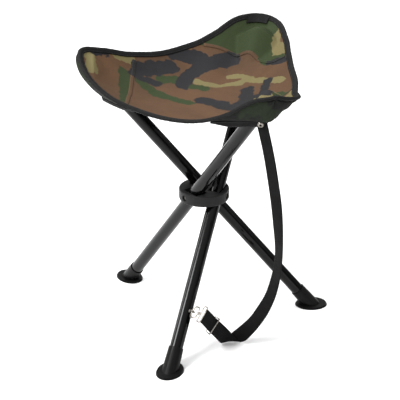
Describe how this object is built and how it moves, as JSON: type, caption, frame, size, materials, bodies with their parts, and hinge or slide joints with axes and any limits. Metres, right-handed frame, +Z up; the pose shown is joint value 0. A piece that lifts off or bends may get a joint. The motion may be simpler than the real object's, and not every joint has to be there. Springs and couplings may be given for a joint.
{
  "type": "three leg stool",
  "caption": "Folding camp stool: black tube legs cross in a round plastic hub and hold a sewn camouflage seat in corner pockets; a webbing carry strap clips to one leg.",
  "frame": {"origin": "centre of the bottom of the stool's box, on the floor, without the carry strap and its fittings", "axes": "+Z up; the top of leg c leans towards +Y and its foot is towards -Y; leg a's top leans towards +X"},
  "size_m": [0.3944, 0.4538, 0.4856],
  "materials": {
    "black_painted_steel": "gloss black powder coat on steel tube",
    "black_plastic": "satin moulded black plastic",
    "black_rubber": "soft black rubber, slightly dusty",
    "bright_steel": "bright nickel-plated steel",
    "camouflage_fabric": "plain-woven polyester printed with brown, green, khaki and black blotches",
    "green_fabric": "the same woven polyester, dark green side",
    "black_tape": "folded black edging tape, stitched",
    "black_webbing": "woven black polypropylene webbing"
  },
  "bodies": {
    "hub": {"hub_body": "black_plastic", "pivot_pin_a": "bright_steel", "pivot_pin_b": "bright_steel", "pivot_pin_c": "bright_steel", "seat_panel": "camouflage_fabric", "edge_binding_ac": "black_tape", "edge_binding_cb": "black_tape", "edge_binding_ba": "black_tape", "carry_strap": "black_webbing"},
    "leg_a": {"leg_tube_a": "black_painted_steel", "tube_plug_a": "black_plastic", "foot_boot_a": "black_rubber", "corner_panel_a": "camouflage_fabric", "pocket_a": "green_fabric", "pocket_hem_a": "black_tape", "strap_rivet": "bright_steel"},
    "leg_b": {"leg_tube_b": "black_painted_steel", "tube_plug_b": "black_plastic", "foot_boot_b": "black_rubber", "corner_panel_b": "camouflage_fabric", "pocket_b": "green_fabric", "pocket_hem_b": "black_tape"},
    "leg_c": {"leg_tube_c": "black_painted_steel", "tube_plug_c": "black_plastic", "foot_boot_c": "black_rubber", "corner_panel_c": "camouflage_fabric", "pocket_c": "green_fabric", "pocket_hem_c": "black_tape", "sewn_tag": "black_tape", "strap_eye": "bright_steel", "snap_hook": "bright_steel", "strap_loop": "bright_steel"},
    "gate": {"hook_gate": "bright_steel"},
    "slider": {"strap_slider": "bright_steel"}
  },
  "joints": [
    {"name": "leg_a_fold", "type": "hinge", "parent": "hub", "child": "leg_a", "pos_m": [-0.00099, -0.02569, 0.2351], "axis": [-0.4772, -0.8788, 0], "range_deg": [0, 36], "deforming": ["seat_panel", "edge_binding_ac", "edge_binding_ba", "corner_panel_a", "pocket_a", "pocket_hem_a", "carry_strap"]},
    {"name": "leg_b_fold", "type": "hinge", "parent": "hub", "child": "leg_b", "pos_m": [-0.00064, 0.01387, 0.2351], "axis": [-0.4617, 0.887, 0], "range_deg": [0, 36], "deforming": ["corner_panel_b", "pocket_b", "pocket_hem_b"]},
    {"name": "leg_c_fold", "type": "hinge", "parent": "hub", "child": "leg_c", "pos_m": [0.0321, -0.006, 0.2351], "axis": [1, 0, 0], "range_deg": [0, 36], "deforming": ["corner_panel_c", "pocket_c", "pocket_hem_c", "edge_binding_cb", "sewn_tag"]},
    {"name": "gate_open", "type": "hinge", "parent": "leg_c", "child": "gate", "pos_m": [0.05816, -0.14141, 0.08791], "axis": [-0.2889, -0.5566, 0.7789], "range_deg": [0, 40], "stiffness_Nm_per_rad": 0.0005, "springref_deg": -17.19},
    {"name": "slider_slide", "type": "slide", "parent": "leg_c", "child": "slider", "axis": [-0.184, -0.6149, 0.7669], "range_m": [-0.008, 0.008]}
  ],
  "couplings": [
    {"joint": "leg_b_fold", "follows": "leg_a_fold", "ratio": 1},
    {"joint": "leg_c_fold", "follows": "leg_a_fold", "ratio": 1}
  ]
}
